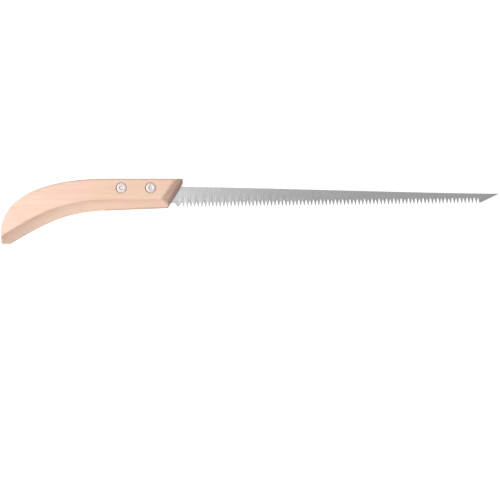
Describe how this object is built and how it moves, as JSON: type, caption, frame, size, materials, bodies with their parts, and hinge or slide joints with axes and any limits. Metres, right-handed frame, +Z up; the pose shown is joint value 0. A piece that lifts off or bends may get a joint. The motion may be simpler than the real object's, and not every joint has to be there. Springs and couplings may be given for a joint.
{
  "type": "drywall saw",
  "caption": "Narrow pointed drywall saw: tapered toothed blade with a spear tip, riveted into the sawn slot of a curved, bevelled wooden handle.",
  "frame": {"origin": "on the lower side face of the handle, midway between the two rivets; the saw lies on its side", "axes": "+X toward the blade tip, +Y toward the spine of the blade (teeth toward -Y), +Z up, square to the blade"},
  "size_m": [0.34, 0.0449, 0.018],
  "materials": {
    "handle_wood": "sanded pale beech, barely sealed",
    "blade_steel": "satin, ground across the blade",
    "rivet_steel": "bright plated",
    "washer_steel": "plated, slightly dull"
  },
  "bodies": {
    "root": {"handle": "handle_wood", "blade": "blade_steel", "rivet_front": "rivet_steel", "rivet_rear": "rivet_steel", "washer_front": "washer_steel", "washer_rear": "washer_steel"}
  },
  "joints": []
}
